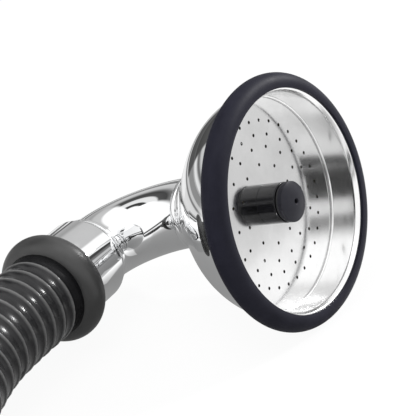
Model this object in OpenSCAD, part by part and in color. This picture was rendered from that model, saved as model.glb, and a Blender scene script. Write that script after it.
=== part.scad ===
// Handheld bath sprayer: a bell-shaped spray head with a rubber bumper, a
// perforated face plate and a central jet, on a bent tube that swivels at both
// ends, with its ribbed supply hose. Millimetres, +Z up, lying on its side: the
// bumper, the hose ring and the hose touch the ground.

/* [Spray face] */
// Inside diameter of the spray cup
cup_bore_d = 69; // [66:0.5:84]
// Depth of the cup, from the start of its flared lip to the plate
cup_depth = 9.5; // [8:0.5:14]
// Thickness of the drawn steel sheet
sheet_t = 0.5; // [0.4:0.1:0.8]
// Width of the cup's flared lip
lip_flare = 0.9; // [0.5:0.1:1.5]
// Height of the cup's flared lip
lip_h = 1.4; // [1:0.1:2]
// Diameter of a spray hole
spray_hole_d = 1.1; // [0.8:0.1:1.4]
// Radius of each ring of spray holes
hole_ring_r = [13, 18.4, 22.4, 26.8]; // [10:0.1:29]
// Number of holes in each ring
hole_ring_count = [10, 15, 20, 32]; // [6:1:36]
// Turn of each ring of holes
hole_ring_turn = [10, 4, 8, 3]; // [0:1:36]

/* [Bumper] */
// Diameter of the bumper's round section
bumper_section_d = 8.4; // [7.6:0.2:11]
// How far the bumper stands out from the shell
bumper_out = 3.6; // [3:0.1:6]
// How far the bumper's lip reaches in over the cup's flange
bumper_hook = 1.7; // [1:0.1:1.8]

/* [Shell] */
// Wall of the shell
shell_wall = 1.4; // [1:0.1:2]
// Radius of the bell's curve
bell_r = 28; // [26:0.5:32]
// Angle that the bell's curve turns through before its cone
bell_angle = 46; // [40:1:50]
// Outside radius of the shell's neck
neck_r = 13.2; // [13:0.1:15]
// Length of the neck's straight land
neck_land = 1; // [0.5:0.5:3]
// Height of the socket inside the neck
socket_h = 11; // [10:0.5:14]
// Wall of the shell's front band, round the cup
front_wall = 2.3; // [1.8:0.1:3.2]
// Gap between the cup's wall and the shell
cup_gap = 0.1; // [0.05:0.05:0.3]
// Thickness of the gasket under the cup's flange
gasket_t = 0.6; // [0.4:0.1:1.2]

/* [Central jet] */
// Outside diameter of the post and its cap
post_d = 13; // [12:0.5:18]
// Height of the jet cap's rim
cap_rim_h = 1.6; // [1.2:0.2:3]
// Height of the cap's dome above its rim
cap_dome_h = 1.4; // [0.8:0.1:2]
// Diameter of the jet hole
jet_d = 1.6; // [1:0.1:2.4]
// Diameter of the cap's stem
stem_d = 7; // [6:0.5:8]
// Height of the groove between post and cap
seal_groove_h = 1.0; // [0.8:0.1:1.6]
// Diameter of the stud that holds the post
stud_d = 6; // [5:0.5:7]
// Bore of the stud
stud_bore_d = 3; // [2:0.5:3.5]

/* [Bent tube] */
// Outside diameter of the tube
tube_d = 23.2; // [22.6:0.1:23.6]
// Wall of the tube
tube_wall = 2.8; // [2.4:0.1:4]
// Bend radius of the tube's centre line
bend_r = 24; // [20:0.5:36]
// Angle that the tube turns through
bend_angle = 98; // [85:1:110]
// How far the collar's bead stands out from the tube
collar_out = 1.0; // [0.6:0.1:2]
// Width of the collar
collar_w = 2.5; // [2:0.1:5]
// Section of the neck seals
seal_section_d = 1.6; // [1.2:0.1:2]
// Straight tube between the bend and the thread
tube_end = 3; // [2:0.5:8]

/* [Coupling] */
// Outside diameter of the coupling nut
nut_d = 28.4; // [27:0.2:34]
// Length of the coupling nut
nut_h = 19.4; // [18.5:0.2:26]
// Outside diameter of the pipe thread
thread_d = 20.8; // [20:0.1:21]
// Length of the male thread
thread_h = 8.5; // [7:0.5:9.5]
// Thickness of a flat washer
washer_t = 2; // [1.5:0.1:3]
// Outside diameter of the hose tail's neck
tail_neck_d = 17; // [15:0.5:18]
// Thickness of the hose tail's flange
tail_flange_t = 1.8; // [1.4:0.1:3]

/* [Hose] */
// Outside diameter of the hose
hose_d = 28; // [26:0.5:28.5]
// Bore of the hose
hose_bore_d = 18; // [16:0.5:20]
// Depth of a rib
rib_depth = 0.5; // [0.3:0.1:1.5]
// Distance from rib to rib
rib_pitch = 5.6; // [4.5:0.1:8]
// How far the rubber ring at the hose's end stands out from the hose
ring_out = 4; // [3:0.25:7]
// Diameter of the rubber ring's round section
ring_section_d = 10.2; // [9:0.2:13]
// Length of the far end's crimped sleeve
sleeve_h = 12; // [8:1:24]

/* [Fits] */
// Radial clearance of a turning fit
running_gap = 0.05; // [0.02:0.01:0.08]
// Gap between pieces that move past each other
moving_gap = 0.3; // [0.2:0.05:0.6]
// Radial clearance of a piece that is slipped on or in
slip_gap = 0.1; // [0.05:0.01:0.2]

/* [Hidden] */
$fn = 96;
epsilon = 0.01;

// Colours
chrome = [0.78, 0.79, 0.81];
steel = [0.72, 0.72, 0.72];
rubber = [0.20, 0.20, 0.23];
black = [0.09, 0.09, 0.10];
hose_grey = [0.24, 0.24, 0.25];
brass = [0.74, 0.60, 0.34];

// Spray head, measured along its axis from the bumper's middle, + to the face
cup_r = cup_bore_d / 2;
seat_r = cup_r + sheet_t + cup_gap;
shell_r = seat_r + front_wall;
bumper_section_r = bumper_section_d / 2;
bumper_r = shell_r + bumper_out;
bumper_mid_r = bumper_r - bumper_section_r;
flange_z = 3.1;
lip_z = flange_z - lip_h;
plate_z = lip_z - cup_depth;
plate_back_z = plate_z - sheet_t;
shell_front_z = flange_z - sheet_t - gasket_t;
seat_z = plate_back_z - sheet_t;
ledge_w = 3;
bead_r = 0.4;
bead_steps = 6;

// Bell outline: a straight band, an arc and a cone down to the neck
arc_steps = 12;
cone_top_r = shell_r - bell_r * (1 - cos(bell_angle));
cone_top_z = -bell_r * sin(bell_angle);
neck_z = cone_top_z - (cone_top_r - neck_r) / tan(bell_angle);
shell_end_z = neck_z - neck_land;
tube_r = tube_d / 2;
end_step = 0.1;
spigot_r = tube_r - end_step;
socket_bore_r = spigot_r + running_gap;
socket_top_z = shell_end_z + socket_h;
socket_wall = 2.8;
socket_r = socket_bore_r + socket_wall;
seat_angle = asin(-seat_z / (bell_r - shell_wall));
inner_cone_r = cone_top_r - shell_wall * cos(bell_angle);
inner_cone_z = cone_top_z + shell_wall * sin(bell_angle);
socket_root_z = inner_cone_z - (inner_cone_r - socket_r) / tan(bell_angle);

// Central jet
post_r = post_d / 2;
stud_r = stud_d / 2;
stem_r = stem_d / 2;
cap_z = flange_z - lip_h - cap_rim_h;
post_top_z = cap_z - seal_groove_h;
socket_depth = 2.4;
dome_steps = 8;
dome_r = (pow(post_r, 2) + pow(cap_dome_h, 2)) / (2 * cap_dome_h);
cap_seal_r = (seal_groove_h - 2 * running_gap) / 2;
port_web = 0.8;
port_r = 0.7;
port_offset = 1.5;
stud_top_z = plate_z + socket_depth;
web_top_z = stud_top_z + port_web;
stem_end_z = web_top_z + moving_gap;
snap_out = 0.3;
snap_h = 0.8;
snap_z = stem_end_z + 1.2;
core_arm_w = 3;
core_arm_h = 3;
core_hub_r = stud_r + 1.5;
core_z = cone_top_z + 3;
core_arms = 3;

// Bent tube
tube_bore_r = tube_r - tube_wall;
tube_let_in = 1;
collar_z = shell_end_z - moving_gap - collar_w;
clip_t = 0.9;
clip_z = socket_top_z + moving_gap;
clip_groove_depth = 0.7;
clip_mouth = 5;
spigot_top_z = clip_z + clip_t + 1.5;
seal_r = seal_section_d / 2;
seal_mid_r = spigot_r - seal_r;
seal_groove_w = seal_section_d + 0.5;
seal_inset = 2.6;
seal_z = [shell_end_z + seal_inset, socket_top_z - seal_inset];

// Coupling, measured along the hose's axis from the end of the bend
lip_start = 1.5;
thread_r = thread_d / 2;
thread_start = tube_end;
thread_end = thread_start + thread_h;
washer_end = thread_end + washer_t;
flange_start = washer_end + running_gap;
flange_end = flange_start + tail_flange_t;
nut_wall_start = flange_end + running_gap;
nut_end = lip_start + nut_h;
nut_r = nut_d / 2;
nut_lip_r = nut_r - 1.4;
nut_lip_h = 1.6;
nut_groove_r = nut_r - 2;
nut_shoulder_h = 2.2;
nut_bore_r = thread_r + slip_gap;
thread_relief = 0.4;
relief_lead = 0.3;
seat_h = washer_t + tail_flange_t + 2 * running_gap;
nut_back_t = 2.2;
tail_neck_r = tail_neck_d / 2;
tail_bore_r = tail_neck_r - 2.5;
tail_flange_r = thread_r - 0.2;

// Hose end, ring and cuff
hose_r = hose_d / 2;
hose_bore_r = hose_bore_d / 2;
ring_r = hose_r + ring_out;
ring_section_r = ring_section_d / 2;
ring_mid_r = ring_r - ring_section_r;
ring_bore_r = hose_r + slip_gap;
ring_half_w = sqrt(pow(ring_section_r, 2) - pow(ring_bore_r - ring_mid_r, 2));
ring_mid = nut_end + moving_gap + ring_half_w;
cuff_start = nut_end + moving_gap;
cuff_end = ring_mid + ring_half_w;
barb_out = 0.35;
barb_pitch = 3;
barb_count = 2;

// Supply end, measured from the coil's end
supply_flange = sleeve_h + 3;
supply_nut_h = 15;
supply_nut_back = supply_flange - running_gap - nut_back_t;
supply_nut_r = hose_r - 0.2;

// How the sprayer lies: the face tilts up until the bumper and the hose ring
// stand on the same ground, and the head rolls until the hose runs level
lean = bend_angle - 90;
bend_z = collar_z + collar_w / 2;
drop = -bend_z + bend_r * (tan(lean) * (1 + sin(lean)) + cos(lean));
face_tilt = acos((ring_r - bumper_section_r) / norm([bumper_mid_r, drop]))
    - atan2(drop, bumper_mid_r);
head_roll = -asin(tan(lean) * tan(face_tilt));
head_h = bumper_section_r + bumper_mid_r * cos(face_tilt);

// Ground plan: the middle of the sprayer, without its hose, stands over the
// origin. The face looks to -Y and the hose leaves to -X.
axis_y = -cos(face_tilt);
side_y = sin(head_roll) * sin(face_tilt);
side_x = -cos(head_roll);
hose_x = cos(lean) * side_x;
hose_y = sin(lean) * axis_y + cos(lean) * side_y;
bend_mid = [bend_r * side_x, bend_z * axis_y + bend_r * side_y];
bend_end = bend_mid + bend_r * [sin(lean) * side_x, -cos(lean) * axis_y + sin(lean) * side_y];
cuff_face = bend_end + cuff_end * [hose_x, hose_y];
front_y = -(bumper_mid_r * sin(face_tilt) + bumper_section_r);
back_y = max(bend_mid[1] + bend_r * norm([axis_y, side_y]) + tube_r,
    bend_end[1] + ring_mid * hose_y + ring_mid_r * abs(hose_x) + ring_section_r);
left_x = cuff_face[0] - ring_bore_r * abs(hose_y);
head_x = -(bumper_r + left_x) / 2;
head_y = -(front_y + back_y) / 2;

// Hose route after its straight end, chosen by hand: x, y and lift off the ground
RUN = [[-83.6, 19.9, 3.7], [-90.8, 18.1, 2.8], [-97.9, 15.8, 1.8], [-104.9, 13.1, 0.8],
    [-111.8, 10.3, 0.1], [-118.7, 7.4, 0], [-125.6, 4.6, 0], [-132.6, 1.8, 0],
    [-139.5, -1.1, 0], [-146.5, -3.7, 0], [-153.6, -6, 0], [-160.8, -7.8, 0],
    [-168.2, -9.3, 0], [-175.6, -10.3, 0], [-183, -10.9, 0], [-190.5, -11.1, 0],
    [-198, -11.3, 0], [-205.4, -11.5, 0], [-212.9, -11.7, 0], [-220.4, -11.9, 0],
    [-227.9, -12.1, 0]];
run_sides = 8;
coil_sides = 6;
coil_rings = 24;
coil_centre = [-256, -182.9];
coil_r = 170;
coil_pitch = 29.6;
coil_sweep = 480;
coil_draw_in = 260;
coil_lead = 28;
coil_gap_min = 0.4;

// ---------------------------------------------------------------- placing

// Puts its children on the head's axis, +Z towards the spray face
module at_head() {
    translate([head_x, head_y, head_h])
        rotate([90 - face_tilt, 0, 0])
            rotate([0, 0, 180 - head_roll])
                children();
}

// Puts its children on the hose's axis at the end of the bend, +Z to the hose
module at_hose() {
    at_head()
        translate([bend_r * (1 - cos(bend_angle)), 0, bend_z - bend_r * sin(bend_angle)])
            rotate([0, 180 - bend_angle, 0])
                children();
}

// A plain round tube between two heights
module pipe(outer, inner, low, high) {
    translate([0, 0, low])
        difference() {
            cylinder(r = outer, h = high - low);
            translate([0, 0, -epsilon])
                cylinder(r = inner, h = high - low + 2 * epsilon);
        }
}

// A disc between two heights
module disc(radius, low, high) {
    translate([0, 0, low])
        cylinder(r = radius, h = high - low);
}

// A round ring section, such as a seal
module torus(mid, section) {
    rotate_extrude()
        translate([mid, 0])
            circle(r = section, $fn = 32);
}

// ---------------------------------------------------------------- spray head

// Points of the bell's outline, set in by a wall, from its front band to its cone
function bell_arc(wall) = [for (i = [0:arc_steps])
    let (angle = bell_angle * i / arc_steps)
        [shell_r - bell_r + (bell_r - wall) * cos(angle), -(bell_r - wall) * sin(angle)]];

// Points of the bell's inside, from the cup's seat to its cone
function inner_arc() = [for (i = [0:arc_steps])
    let (angle = seat_angle + (bell_angle - seat_angle) * i / arc_steps)
        [shell_r - bell_r + (bell_r - shell_wall) * cos(angle),
            -(bell_r - shell_wall) * sin(angle)]];

// The chamber inside the bell, down to the socket
function chamber_outline(top) = concat([[0, top], [shell_r - shell_wall, top]],
    bell_arc(shell_wall), [[socket_r, socket_root_z], [0, socket_root_z]]);

// Rubber bumper round the rim: a round section with a hook over the cup's flange
module rim_bumper() color(rubber)
    at_head()
        difference() {
            torus(bumper_mid_r, bumper_section_r);
            disc(shell_r, -bumper_section_d, flange_z);
            disc(shell_r - bumper_hook, 0, bumper_section_d);
        }

// Chromed bell with the swivel socket in its neck
module head_shell() color(chrome)
    at_head()
        rotate_extrude()
            polygon(concat(
                [[seat_r + lip_flare, shell_front_z], [shell_r, shell_front_z]],
                bell_arc(0),
                [[neck_r, neck_z], [neck_r, shell_end_z], [socket_bore_r, shell_end_z],
                    [socket_bore_r, socket_top_z], [socket_r, socket_top_z],
                    [socket_r, socket_root_z]],
                [for (i = [arc_steps:-1:0]) inner_arc()[i]],
                [[seat_r, seat_z], [seat_r, shell_front_z - lip_flare]]));

// Drawn steel ring: ledge under the plate, bead over it, wall, flared lip and flange
module cup_ring() color(steel)
    at_head()
        rotate_extrude()
            polygon(concat([
                [cup_r - ledge_w, plate_back_z - sheet_t],
                [cup_r + sheet_t, plate_back_z - sheet_t],
                [cup_r + sheet_t, lip_z - sheet_t / 2],
                [cup_r + sheet_t + lip_flare / 2, flange_z - sheet_t],
                [shell_r - slip_gap, flange_z - sheet_t],
                [shell_r - slip_gap, flange_z],
                [cup_r + lip_flare, flange_z],
                [cup_r, lip_z]],
                [for (i = [0:bead_steps])
                    let (angle = 90 + 180 * i / bead_steps)
                        [cup_r + bead_r * cos(angle), plate_z + bead_r * (1 + sin(angle))]],
                [[cup_r, plate_back_z],
                [cup_r - ledge_w, plate_back_z]]));

// Perforated face plate, seated on the ring's ledge
module spray_plate() color(steel)
    at_head()
        difference() {
            disc(cup_r, plate_back_z, plate_z);
            disc(stud_r + slip_gap, plate_back_z - epsilon, plate_z + epsilon);
            for (row = [0:len(hole_ring_r) - 1])
                for (i = [0:hole_ring_count[row] - 1])
                    rotate([0, 0, hole_ring_turn[row] + i * 360 / hole_ring_count[row]])
                        translate([hole_ring_r[row], 0, 0])
                            disc(spray_hole_d / 2, plate_back_z - epsilon, plate_z + epsilon,
                                $fn = 24);
        }

// Flat gasket between the cup's flange and the shell's front edge
module cup_gasket() color(rubber)
    at_head()
        pipe(shell_r - slip_gap, seat_r + lip_flare, shell_front_z, flange_z - sheet_t);

// Three-armed core that carries the stud; its arms rest on the shell's cone
module jet_core() color(brass)
    at_head()
        difference() {
            union() {
                disc(core_hub_r, core_z, plate_back_z);
                disc(stud_r, plate_back_z - epsilon, stud_top_z);
                intersection() {
                    rotate_extrude()
                        polygon(chamber_outline(plate_back_z));
                    for (i = [0:core_arms - 1])
                        rotate([0, 0, i * 360 / core_arms])
                            translate([0, -core_arm_w / 2, core_z])
                                cube([shell_r, core_arm_w, core_arm_h]);
                }
            }
            disc(stud_bore_d / 2, core_z - epsilon, stud_top_z + epsilon);
        }

// ---------------------------------------------------------------- central jet

// Two ports through a web, which the cap's stem opens and shuts
module ports(low, high) {
    for (side = [-1, 1])
        translate([side * port_offset, 0, 0])
            disc(port_r, low, high, $fn = 32);
}

// Post that screws on the stud and holds the plate down
module jet_post() color(black)
    at_head()
        difference() {
            disc(post_r, plate_z, post_top_z);
            disc(stud_r, plate_z - epsilon, stud_top_z);
            disc(stem_r + running_gap, web_top_z, post_top_z + epsilon);
            disc(stem_r + snap_out + running_gap, snap_z - moving_gap, snap_z + snap_h);
            ports(stud_top_z - epsilon, web_top_z + epsilon);
        }

// Outline of the domed cap
function cap_outline() = concat([[0, cap_z], [post_r, cap_z]],
    [for (i = [dome_steps:-1:0])
        let (angle = asin(post_r / dome_r) * i / dome_steps)
            [dome_r * sin(angle), cap_z + cap_rim_h + cap_dome_h - dome_r * (1 - cos(angle))]]);

// Domed cap with the jet hole; its ported stem turns in the post
module jet_cap() color(rubber)
    at_head()
        difference() {
            union() {
                rotate_extrude()
                    polygon(cap_outline());
                disc(stem_r, stem_end_z, cap_z + epsilon);
                disc(stem_r + snap_out, snap_z, snap_z + snap_h - moving_gap);
            }
            disc(stem_r - 1.2, stem_end_z + port_web, cap_z + cap_rim_h - 0.4);
            ports(stem_end_z - epsilon, stem_end_z + port_web + epsilon);
            disc(jet_d / 2, cap_z, cap_z + cap_rim_h + cap_dome_h + epsilon, $fn = 32);
        }

// Seal ring in the groove under the cap
module cap_seal() color(black)
    at_head()
        translate([0, 0, cap_z - cap_seal_r])
            torus(post_r - 0.35 - cap_seal_r, cap_seal_r);

// ---------------------------------------------------------------- bent tube

// Spring clip that keeps the tube in the socket
module neck_clip() color(steel)
    at_head()
        difference() {
            pipe(socket_r - 0.5, spigot_r - clip_groove_depth, clip_z, clip_z + clip_t);
            translate([0, -clip_mouth / 2, clip_z - epsilon])
                cube([socket_r, clip_mouth, clip_t + 2 * epsilon]);
        }

// Round bar or bore along the bend, with straight ends of another radius let into it
module tube_run(bend_radius, end_radius, top, overrun) {
    at_head() {
        disc(end_radius, bend_z - tube_let_in, top);
        translate([bend_r, 0, bend_z])
            rotate([-90, 0, 0])
                rotate([0, 0, 180 - bend_angle])
                    rotate_extrude(angle = bend_angle)
                        translate([bend_r, 0])
                            circle(r = bend_radius);
    }
    at_hose()
        disc(end_radius, -tube_let_in, thread_start + overrun);
}

// Bent tube: spigot with seal grooves, bend, and male thread for the coupling
module elbow_tube() color(chrome)
    difference() {
        union() {
            tube_run(tube_r, spigot_r, spigot_top_z, 0);
            at_hose()
                disc(thread_r, 0, thread_end);
        }
        tube_run(tube_bore_r, tube_bore_r + end_step, spigot_top_z + epsilon, 0);
        at_hose()
            disc(tube_bore_r + end_step, 0, thread_end + epsilon);
        at_head() {
            for (z = seal_z)
                pipe(tube_r + 1, seal_mid_r - seal_r, z - seal_groove_w / 2, z + seal_groove_w / 2);
            pipe(tube_r + 1, spigot_r - clip_groove_depth, clip_z, clip_z + clip_t);
        }
    }

// Rounded collar behind the bell
module neck_collar() color(chrome)
    at_head()
        difference() {
            union() {
                translate([0, 0, collar_z + collar_w / 2])
                    torus(tube_r + collar_out - collar_w / 2, collar_w / 2);
                disc(tube_r + collar_out / 2, collar_z, collar_z + collar_w);
            }
            disc(tube_r + running_gap, collar_z - 1, collar_z + collar_w + 1);
        }

// Two seal rings in the spigot's grooves
module neck_seals() color(black)
    at_head()
        for (z = seal_z)
            translate([0, 0, z])
                torus(seal_mid_r, seal_r);

// ---------------------------------------------------------------- coupling

// Outline of a union nut's outside: thin lip, groove, rounded shoulder, barrel
function nut_outline() = concat(
    [[nut_bore_r, 0], [nut_lip_r - 0.4, 0], [nut_lip_r, 0.4], [nut_lip_r, nut_lip_h - 0.4],
        [nut_lip_r - 0.4, nut_lip_h], [nut_groove_r, nut_lip_h]],
    [for (i = [0:bead_steps])
        let (angle = 90 * i / bead_steps)
            [nut_r - nut_shoulder_h * (1 - sin(angle)),
                nut_lip_h + 1 + nut_shoulder_h * (1 - cos(angle))]],
    [[nut_r, nut_h - 0.6], [nut_r - 0.6, nut_h], [nut_bore_r, nut_h]]);

// Union nut, mouth at zero: thread bore, relieved seat for a tail's flange, back wall
module union_nut(seat) {
    difference() {
        rotate_extrude()
            polygon(concat([[tail_neck_r + running_gap, 0]], nut_outline(),
                [[tail_neck_r + running_gap, nut_h]]));
        disc(nut_bore_r, -epsilon, seat);
        disc(nut_bore_r + thread_relief, seat - seat_h - relief_lead, seat);
    }
}

// Hose tail, flange at zero: flange, neck, bore and barbs
module swivel_tail(neck, length) {
    difference() {
        union() {
            disc(tail_flange_r, 0, tail_flange_t);
            disc(tail_neck_r, 0, neck);
            disc(hose_bore_r - barb_out - slip_gap, neck - epsilon, length);
            for (i = [0:barb_count - 1])
                translate([0, 0, neck + 1.5 + i * barb_pitch])
                    cylinder(r1 = hose_bore_r - slip_gap, r2 = hose_bore_r - barb_out - slip_gap,
                        h = barb_pitch - 0.5);
        }
        disc(tail_bore_r, -epsilon, length + epsilon);
    }
}

// Nut that fixes the hose to the tube's thread
module coupling_nut() color(chrome)
    at_hose()
        translate([0, 0, lip_start])
            difference() {
                union_nut(nut_wall_start - lip_start);
                disc(tube_r + slip_gap, -epsilon, thread_start - lip_start + epsilon);
                disc(ring_bore_r - 1, nut_wall_start - lip_start + nut_back_t, nut_h + epsilon);
            }

// Washer between the thread's end and the hose tail
module coupling_washer() color(rubber)
    at_hose()
        pipe(thread_r - 0.2, tail_bore_r, thread_end, washer_end);

// Tail that turns in the nut and carries the hose
module hose_tail() color(brass)
    at_hose()
        translate([0, 0, flange_start])
            swivel_tail(cuff_start - flange_start, cuff_end - flange_start - 1);

// Moulded cuff that ends the hose, round the tail
module hose_cuff() color(hose_grey)
    at_hose()
        pipe(hose_r, hose_bore_r, cuff_start, cuff_end);

// Thick rubber ring over the cuff
module hose_ring() color(rubber)
    at_hose()
        difference() {
            translate([0, 0, ring_mid])
                torus(ring_mid_r, ring_section_r);
            disc(ring_bore_r, cuff_start - 5, cuff_end + 5);
        }

// ---------------------------------------------------------------- hose

// Direction of a route at each of its points
function direction(path, i) =
    let (a = path[max(i - 1, 0)], b = path[min(i + 1, len(path) - 1)])
        (b - a) / norm(b - a);

// One ring of points round a route's point
function ring_at(p, t, r, sides) = [for (k = [0:sides - 1])
    let (angle = 360 * (k + 0.5) / sides, side = cross(t, [0, 0, 1]) / norm(cross(t, [0, 0, 1])))
        p + r * cos(angle) * side + r * sin(angle) * cross(side, t)];

// Quads between two neighbouring rings, as triangles
function skin(first, second, sides, inward) = [for (k = [0:sides - 1])
    let (a = first + k, b = first + (k + 1) % sides, c = second + (k + 1) % sides, d = second + k)
        each (inward ? [[a, b, c], [a, c, d]] : [[a, c, b], [a, d, c]])];

// A tube with a bore, swept along a route with an outside radius for each point
module swept_tube(path, radii, bore, sides) {
    last = len(path) - 1;
    count = len(path) * sides;
    outside = [for (i = [0:last]) each ring_at(path[i], direction(path, i), radii[i], sides)];
    inside = [for (i = [0:last]) each ring_at(path[i], direction(path, i), bore, sides)];
    walls = [for (i = [0:last - 1]) each concat(
        skin(i * sides, (i + 1) * sides, sides, false),
        skin(count + i * sides, count + (i + 1) * sides, sides, true))];
    ends = concat(skin(0, count, sides, true), skin(last * sides, count + last * sides, sides, false));
    polyhedron(points = concat(outside, inside), faces = concat(walls, ends), convexity = 6);
}

// Length along a route up to each of its points
function lengths(path, i = 0, sum = 0, found = []) =
    i == len(path) ? found
    : let (step = i == 0 ? 0 : norm(path[i] - path[i - 1]))
        lengths(path, i + 1, sum + step, concat(found, [sum + step]));

// Point of a route at a length along it
function along(path, marks, s) = [for (k = [0:2])
    lookup(s, [for (i = [0:len(path) - 1]) [marks[i], path[i][k]]])];

run_start = [head_x + cuff_face[0], head_y + cuff_face[1], ring_r];
run_path = concat([run_start, run_start + hose_d * [hose_x, hose_y, 0]],
    [for (p = RUN) [p[0], p[1], p[2] + hose_r]]);
run_marks = lengths(run_path);
run_length = run_marks[len(run_path) - 1];
rib_count = floor(run_length / rib_pitch);
rib_start = (run_length - rib_count * rib_pitch) / 2;
run_stations = concat([0],
    [for (i = [0:rib_count - 1]) each [rib_start + (i + 0.2) * rib_pitch,
        rib_start + (i + 0.7) * rib_pitch]],
    [run_length]);
run_radii = concat([hose_r],
    [for (i = [0:rib_count - 1]) each [hose_r - rib_depth, hose_r]], [hose_r]);

// Ribbed hose from its ring to the coil
module hose_run() color(hose_grey)
    swept_tube([for (s = run_stations) along(run_path, run_marks, s)], run_radii, hose_bore_r, run_sides);

// The coil spirals in on the ground and draws in more on its second turn
function coil_radius(turns) = coil_r - coil_pitch * turns
    - coil_draw_in * pow(max(0, turns - 1), 2);
function coil_point(angle) = let (r = coil_radius(angle / 360))
    [coil_centre[0] + r * cos(90 + angle), coil_centre[1] + r * sin(90 + angle), hose_r];
coil_turn = [for (i = [0:coil_sweep * coil_rings / 360]) coil_point(i * 360 / coil_rings)];
coil_last = len(coil_turn) - 1;
coil_chord = coil_point(coil_sweep + 1) - coil_point(coil_sweep - 1);
coil_out = coil_chord / norm(coil_chord);
coil_tail = coil_turn[coil_last] + coil_lead * coil_out;
coil_path = concat([run_path[len(run_path) - 1]], coil_turn, [coil_tail]);

// Least gap between the coil's turns, measured on its points
coil_gap = min([for (i = [0:coil_last], j = [i + coil_rings / 2:1:coil_last])
    norm(coil_turn[i] - coil_turn[j])]) - hose_d;

// Coiled rest of the hose
module hose_coil() color(hose_grey) {
    echo(coil_gap = coil_gap, least = coil_gap_min, run = run_length,
        coil = lengths(coil_path)[len(coil_path) - 1]);
    swept_tube(coil_path, [for (p = coil_path) hose_r], hose_bore_r, coil_sides);
}

// Puts its children on the coil's end, +Z away from the hose
module at_supply() {
    translate(coil_tail)
        rotate([90, 0, atan2(coil_out[1], coil_out[0]) + 90])
            children();
}

// Crimped metal sleeve on the hose's far end
module supply_sleeve() color(chrome)
    at_supply()
        pipe(hose_r - 0.4, hose_bore_r, 0, sleeve_h);

// Tail in the sleeve
module supply_tail() color(brass)
    at_supply()
        translate([0, 0, supply_flange + tail_flange_t])
            mirror([0, 0, 1])
                swivel_tail(3 + tail_flange_t, supply_flange + tail_flange_t - 1);

// Washer in the supply nut
module supply_washer() color(rubber)
    at_supply()
        pipe(thread_r - 0.2, tail_bore_r, supply_flange + tail_flange_t + running_gap,
            supply_flange + tail_flange_t + running_gap + washer_t);

// Nut that a supply pipe's male thread screws into
module supply_nut() color(chrome)
    at_supply()
        translate([0, 0, supply_nut_back + supply_nut_h])
            mirror([0, 0, 1])
                intersection() {
                    union_nut(supply_nut_h - nut_back_t);
                    disc(supply_nut_r, 0, supply_nut_h);
                }

rim_bumper();
head_shell();
cup_ring();
spray_plate();
cup_gasket();
jet_core();
jet_post();
jet_cap();
cap_seal();
neck_clip();
elbow_tube();
neck_collar();
neck_seals();
coupling_nut();
coupling_washer();
hose_tail();
hose_cuff();
hose_ring();
hose_run();
hose_coil();
supply_sleeve();
supply_tail();
supply_washer();
supply_nut();
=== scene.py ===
"""Handheld bath sprayer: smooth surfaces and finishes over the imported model."""

from __future__ import annotations

import logging
import math
from dataclasses import dataclass, field
from enum import Enum

import bpy
import numpy as np
from mathutils import Matrix


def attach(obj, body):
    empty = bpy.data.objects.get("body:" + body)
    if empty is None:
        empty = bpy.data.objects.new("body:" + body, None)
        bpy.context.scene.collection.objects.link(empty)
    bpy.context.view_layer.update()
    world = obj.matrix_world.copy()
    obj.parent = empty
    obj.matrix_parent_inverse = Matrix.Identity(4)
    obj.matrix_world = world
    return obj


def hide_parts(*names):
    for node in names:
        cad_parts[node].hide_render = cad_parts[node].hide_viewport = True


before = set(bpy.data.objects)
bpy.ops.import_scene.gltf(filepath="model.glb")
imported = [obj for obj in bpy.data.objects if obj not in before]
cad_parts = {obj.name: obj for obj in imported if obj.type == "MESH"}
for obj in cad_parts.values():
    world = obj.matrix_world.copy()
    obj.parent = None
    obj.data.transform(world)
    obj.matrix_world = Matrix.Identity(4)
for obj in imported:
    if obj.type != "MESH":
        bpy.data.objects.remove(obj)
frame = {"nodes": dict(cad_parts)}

LOG = logging.getLogger("bath_sprayer")
MM = 0.001
FILLET_SHARE = 0.3  # how much of a side a rounded corner may take
FLAT_HOLD = 1.5  # where the flats are held beside a rounded corner, in fillets
SECOND_MIRROR = 1.5  # lies between the first mirror's ray depth and the second's
NOISE_SPAN = {"From Min": 0.35, "From Max": 0.65}  # where most of a noise's values lie
Vector3 = tuple[float, float, float]
Ramp = tuple[tuple[float, float], ...]
Socket = bpy.types.NodeSocket


# ---------------- shapes


@dataclass(frozen=True)
class Axis:
    """A turning axis: its origin in millimetres, its direction and one across it."""

    origin: Vector3
    along: Vector3
    across: Vector3

    def basis(self) -> np.ndarray:
        """Returns the across, side and along directions as the rows of a matrix."""
        along = np.array(self.along) / np.linalg.norm(self.along)
        across = np.array(self.across) - along * np.dot(self.across, along)
        across /= np.linalg.norm(across)
        return np.stack([across, np.cross(along, across), along])

    def point(self, local: np.ndarray) -> np.ndarray:
        """Places points given as across, side and along lengths.

        Args:
            local: One point a row, in millimetres.

        Returns:
            The same points in the shared frame, in millimetres.
        """
        return np.array(self.origin) + local @ self.basis()


# The axes of the spray head, of the hose's first end and of the hose's far end.
HEAD_AXIS = Axis((9.57858, -27.9274, 39.0437), (0.0, -0.9468409, 0.3217022),
                 (-0.998859, -0.0153615, -0.0452124))
HOSE_AXIS = Axis((-17.7304, 29.9509, 18.0), (-0.9891384, -0.1469871, 0.0), (0.0, 0.0, 1.0))
SUPPLY_AXIS = Axis((-323.341, -252.593, 14.0), (0.738767, -0.673961, 0.0), (0.0, 0.0, 1.0))


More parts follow.
